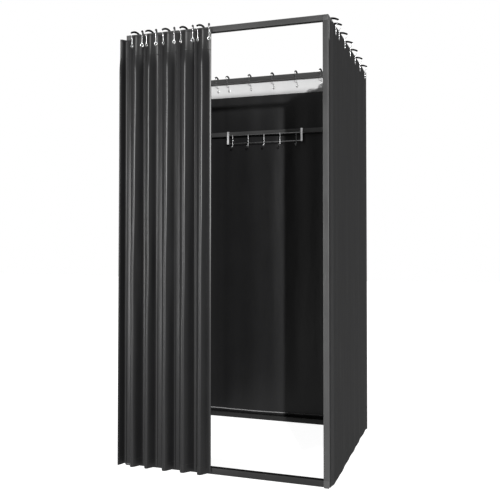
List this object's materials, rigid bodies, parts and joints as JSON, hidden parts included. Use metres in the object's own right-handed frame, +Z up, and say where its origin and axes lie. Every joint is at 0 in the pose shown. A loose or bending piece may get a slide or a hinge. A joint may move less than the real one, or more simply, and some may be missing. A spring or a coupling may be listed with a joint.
{
  "type": "portable fitting room",
  "caption": "Square tube cage with curtains on sleeved wire hooks outside its sides, an open doorway, a garment bar across the rear and a sliding wire hook rack.",
  "frame": {"origin": "bottom centre of the whole part's box, on the floor", "axes": "+Z up, -Y out of the doorway, +X to the right when the doorway is faced"},
  "size_m": [0.9978, 1.0004, 1.9957],
  "materials": {
    "paint": "satin",
    "plastic": "matte",
    "hook_chrome": "polished",
    "rack_chrome": "polished",
    "cloth": "matte"
  },
  "bodies": {
    "frame": {"post_front_left": "paint", "post_front_right": "paint", "post_rear_right": "paint", "post_rear_left": "paint", "top_corner_front_left": "plastic", "top_corner_front_right": "plastic", "top_corner_rear_right": "plastic", "top_corner_rear_left": "plastic", "bottom_corner_front_left": "plastic", "bottom_corner_front_right": "plastic", "bottom_corner_rear_right": "plastic", "bottom_corner_rear_left": "plastic", "top_rail_front": "paint", "top_rail_right": "paint", "top_rail_rear": "paint", "top_rail_left": "paint", "bottom_rail_front": "paint", "bottom_rail_right": "paint", "bottom_rail_rear": "paint", "bottom_rail_left": "paint", "garment_bar": "paint", "bar_socket_left": "plastic", "bar_socket_right": "plastic", "curtain_front": "cloth", "curtain_right": "cloth", "curtain_rear": "cloth", "curtain_left": "cloth", "front_hook_01": "hook_chrome", "right_hook_7": "hook_chrome", "left_hook_7": "hook_chrome", "rear_hook_1": "hook_chrome"},
    "front_hook_10": {"front_hook_10": "hook_chrome"},
    "front_hook_02": {"front_hook_02": "hook_chrome"},
    "front_hook_03": {"front_hook_03": "hook_chrome"},
    "front_hook_04": {"front_hook_04": "hook_chrome"},
    "front_hook_05": {"front_hook_05": "hook_chrome"},
    "front_hook_06": {"front_hook_06": "hook_chrome"},
    "front_hook_07": {"front_hook_07": "hook_chrome"},
    "front_hook_08": {"front_hook_08": "hook_chrome"},
    "front_hook_09": {"front_hook_09": "hook_chrome"},
    "right_hook_1": {"right_hook_1": "hook_chrome"},
    "right_hook_2": {"right_hook_2": "hook_chrome"},
    "right_hook_3": {"right_hook_3": "hook_chrome"},
    "right_hook_4": {"right_hook_4": "hook_chrome"},
    "right_hook_5": {"right_hook_5": "hook_chrome"},
    "right_hook_6": {"right_hook_6": "hook_chrome"},
    "left_hook_1": {"left_hook_1": "hook_chrome"},
    "left_hook_2": {"left_hook_2": "hook_chrome"},
    "left_hook_3": {"left_hook_3": "hook_chrome"},
    "left_hook_4": {"left_hook_4": "hook_chrome"},
    "left_hook_5": {"left_hook_5": "hook_chrome"},
    "left_hook_6": {"left_hook_6": "hook_chrome"},
    "rear_hook_7": {"rear_hook_7": "hook_chrome"},
    "rear_hook_2": {"rear_hook_2": "hook_chrome"},
    "rear_hook_3": {"rear_hook_3": "hook_chrome"},
    "rear_hook_4": {"rear_hook_4": "hook_chrome"},
    "rear_hook_5": {"rear_hook_5": "hook_chrome"},
    "rear_hook_6": {"rear_hook_6": "hook_chrome"},
    "rack": {"hook_rack": "rack_chrome"}
  },
  "joints": [
    {"name": "front_curtain_draw", "type": "slide", "parent": "frame", "child": "front_hook_10", "axis": [1, 0, 0], "range_m": [0, 0.5], "deforming": ["curtain_front"]},
    {"name": "front_hook_02_slide", "type": "slide", "parent": "frame", "child": "front_hook_02", "axis": [1, 0, 0], "range_m": [0, 0.0244]},
    {"name": "front_hook_03_slide", "type": "slide", "parent": "frame", "child": "front_hook_03", "axis": [1, 0, 0], "range_m": [0, 0.0489]},
    {"name": "front_hook_04_slide", "type": "slide", "parent": "frame", "child": "front_hook_04", "axis": [1, 0, 0], "range_m": [0, 0.1196]},
    {"name": "front_hook_05_slide", "type": "slide", "parent": "frame", "child": "front_hook_05", "axis": [1, 0, 0], "range_m": [0, 0.1861]},
    {"name": "front_hook_06_slide", "type": "slide", "parent": "frame", "child": "front_hook_06", "axis": [1, 0, 0], "range_m": [0, 0.292]},
    {"name": "front_hook_07_slide", "type": "slide", "parent": "frame", "child": "front_hook_07", "axis": [1, 0, 0], "range_m": [0, 0.3538]},
    {"name": "front_hook_08_slide", "type": "slide", "parent": "frame", "child": "front_hook_08", "axis": [1, 0, 0], "range_m": [0, 0.4453]},
    {"name": "front_hook_09_slide", "type": "slide", "parent": "frame", "child": "front_hook_09", "axis": [1, 0, 0], "range_m": [0, 0.4726]},
    {"name": "right_curtain_draw", "type": "slide", "parent": "frame", "child": "right_hook_1", "axis": [0, 1, 0], "range_m": [0, 0.5756], "deforming": ["curtain_right"]},
    {"name": "right_hook_2_slide", "type": "slide", "parent": "frame", "child": "right_hook_2", "axis": [0, 1, 0], "range_m": [0, 0.5231]},
    {"name": "right_hook_3_slide", "type": "slide", "parent": "frame", "child": "right_hook_3", "axis": [0, 1, 0], "range_m": [0, 0.425]},
    {"name": "right_hook_4_slide", "type": "slide", "parent": "frame", "child": "right_hook_4", "axis": [0, 1, 0], "range_m": [0, 0.3236]},
    {"name": "right_hook_5_slide", "type": "slide", "parent": "frame", "child": "right_hook_5", "axis": [0, 1, 0], "range_m": [0, 0.2242]},
    {"name": "right_hook_6_slide", "type": "slide", "parent": "frame", "child": "right_hook_6", "axis": [0, 1, 0], "range_m": [0, 0.1171]},
    {"name": "left_curtain_draw", "type": "slide", "parent": "frame", "child": "left_hook_1", "axis": [0, 1, 0], "range_m": [0, 0.5756], "deforming": ["curtain_left"]},
    {"name": "left_hook_2_slide", "type": "slide", "parent": "frame", "child": "left_hook_2", "axis": [0, 1, 0], "range_m": [0, 0.5231]},
    {"name": "left_hook_3_slide", "type": "slide", "parent": "frame", "child": "left_hook_3", "axis": [0, 1, 0], "range_m": [0, 0.425]},
    {"name": "left_hook_4_slide", "type": "slide", "parent": "frame", "child": "left_hook_4", "axis": [0, 1, 0], "range_m": [0, 0.3236]},
    {"name": "left_hook_5_slide", "type": "slide", "parent": "frame", "child": "left_hook_5", "axis": [0, 1, 0], "range_m": [0, 0.2242]},
    {"name": "left_hook_6_slide", "type": "slide", "parent": "frame", "child": "left_hook_6", "axis": [0, 1, 0], "range_m": [0, 0.1171]},
    {"name": "rear_curtain_draw", "type": "slide", "parent": "frame", "child": "rear_hook_7", "axis": [-1, 0, 0], "range_m": [0, 0.537], "deforming": ["curtain_rear"]},
    {"name": "rear_hook_2_slide", "type": "slide", "parent": "frame", "child": "rear_hook_2", "axis": [-1, 0, 0], "range_m": [0, 0.0483]},
    {"name": "rear_hook_3_slide", "type": "slide", "parent": "frame", "child": "rear_hook_3", "axis": [-1, 0, 0], "range_m": [0, 0.144]},
    {"name": "rear_hook_4_slide", "type": "slide", "parent": "frame", "child": "rear_hook_4", "axis": [-1, 0, 0], "range_m": [0, 0.2405]},
    {"name": "rear_hook_5_slide", "type": "slide", "parent": "frame", "child": "rear_hook_5", "axis": [-1, 0, 0], "range_m": [0, 0.3382]},
    {"name": "rear_hook_6_slide", "type": "slide", "parent": "frame", "child": "rear_hook_6", "axis": [-1, 0, 0], "range_m": [0, 0.438]},
    {"name": "rack_slide", "type": "slide", "parent": "frame", "child": "rack", "axis": [1, 0, 0], "range_m": [-0.122, 0.306]}
  ],
  "couplings": [
    {"joint": "front_hook_02_slide", "follows": "front_curtain_draw", "ratio": 0.04872},
    {"joint": "front_hook_03_slide", "follows": "front_curtain_draw", "ratio": 0.0977},
    {"joint": "front_hook_04_slide", "follows": "front_curtain_draw", "ratio": 0.23901},
    {"joint": "front_hook_05_slide", "follows": "front_curtain_draw", "ratio": 0.37218},
    {"joint": "front_hook_06_slide", "follows": "front_curtain_draw", "ratio": 0.58386},
    {"joint": "front_hook_07_slide", "follows": "front_curtain_draw", "ratio": 0.70747},
    {"joint": "front_hook_08_slide", "follows": "front_curtain_draw", "ratio": 0.89049},
    {"joint": "front_hook_09_slide", "follows": "front_curtain_draw", "ratio": 0.94517},
    {"joint": "right_hook_2_slide", "follows": "right_curtain_draw", "ratio": 0.90873},
    {"joint": "right_hook_3_slide", "follows": "right_curtain_draw", "ratio": 0.7383},
    {"joint": "right_hook_4_slide", "follows": "right_curtain_draw", "ratio": 0.56211},
    {"joint": "right_hook_5_slide", "follows": "right_curtain_draw", "ratio": 0.3894},
    {"joint": "right_hook_6_slide", "follows": "right_curtain_draw", "ratio": 0.20337},
    {"joint": "left_hook_2_slide", "follows": "left_curtain_draw", "ratio": 0.90873},
    {"joint": "left_hook_3_slide", "follows": "left_curtain_draw", "ratio": 0.7383},
    {"joint": "left_hook_4_slide", "follows": "left_curtain_draw", "ratio": 0.56211},
    {"joint": "left_hook_5_slide", "follows": "left_curtain_draw", "ratio": 0.3894},
    {"joint": "left_hook_6_slide", "follows": "left_curtain_draw", "ratio": 0.20337},
    {"joint": "rear_hook_2_slide", "follows": "rear_curtain_draw", "ratio": 0.08979},
    {"joint": "rear_hook_3_slide", "follows": "rear_curtain_draw", "ratio": 0.26815},
    {"joint": "rear_hook_4_slide", "follows": "rear_curtain_draw", "ratio": 0.44768},
    {"joint": "rear_hook_5_slide", "follows": "rear_curtain_draw", "ratio": 0.62976},
    {"joint": "rear_hook_6_slide", "follows": "rear_curtain_draw", "ratio": 0.81546}
  ]
}
